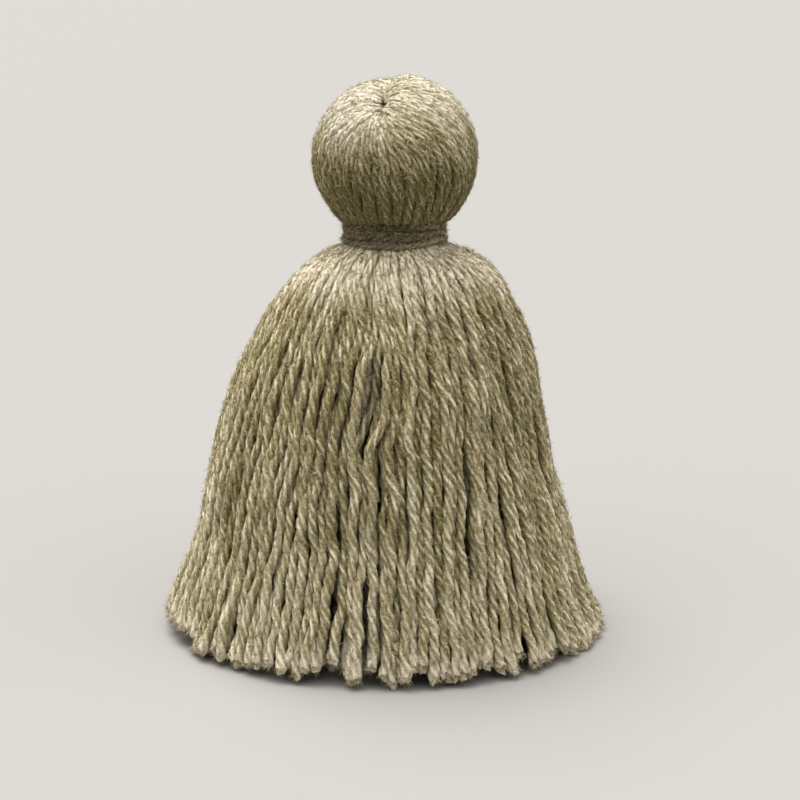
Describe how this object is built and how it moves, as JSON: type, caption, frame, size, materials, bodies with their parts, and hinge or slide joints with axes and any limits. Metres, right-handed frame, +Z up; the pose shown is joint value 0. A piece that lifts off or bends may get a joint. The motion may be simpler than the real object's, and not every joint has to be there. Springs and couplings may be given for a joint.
{
  "type": "yarn tassel",
  "caption": "A full wool-yarn tassel with a ball-shaped head, a bound neck and a wide bell of loose twisted strands, standing on its strand ends",
  "frame": {"origin": "middle of the footprint, on the surface that the strand ends stand on", "axes": "+Z runs up from the strand ends to the head, -Y is the tassel's front, and X runs across its wider side"},
  "size_m": [0.08, 0.059, 0.099],
  "materials": {
    "yarn": "matte, fuzzy four-ply wool yarn in a greyish beige",
    "binding": "matte, the same yarn wound tight round the neck"
  },
  "bodies": {
    "root": {"yarn_hank": "yarn", "neck_binding": "binding"}
  },
  "joints": []
}
